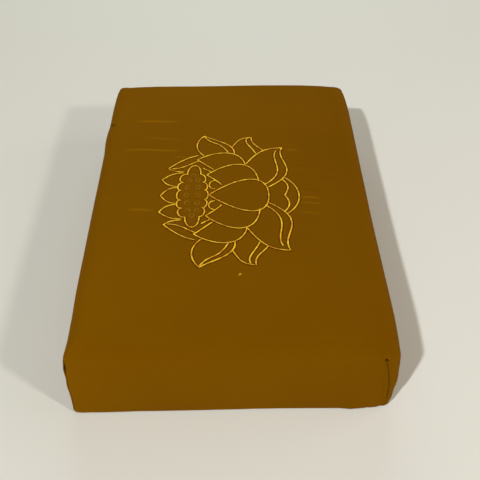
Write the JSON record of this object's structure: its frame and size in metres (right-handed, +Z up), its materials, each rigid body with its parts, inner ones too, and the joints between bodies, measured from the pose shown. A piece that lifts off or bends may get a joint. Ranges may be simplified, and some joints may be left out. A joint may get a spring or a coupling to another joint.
{
  "type": "kneeling cushion",
  "caption": "Rectangular kneeling cushion: a firm filled block in a fitted cloth cover with boxed corner seams and a flower embroidered on top.",
  "frame": {"origin": "middle of the flat base, on the surface the cushion lies on", "axes": "+Z up, +Y along the cushion's length away from the picture's viewer, +X across it to the viewer's right, away from the side that the flower's tip points to"},
  "size_m": [0.3, 0.45, 0.09],
  "materials": {
    "ochre_cloth": "fine plain-woven ochre cloth with a faint sheen",
    "gold_thread": "glossy twisted gold embroidery thread",
    "seam_thread": "dull ochre sewing thread"
  },
  "bodies": {
    "root": {"cushion": "ochre_cloth"}
  },
  "joints": []
}
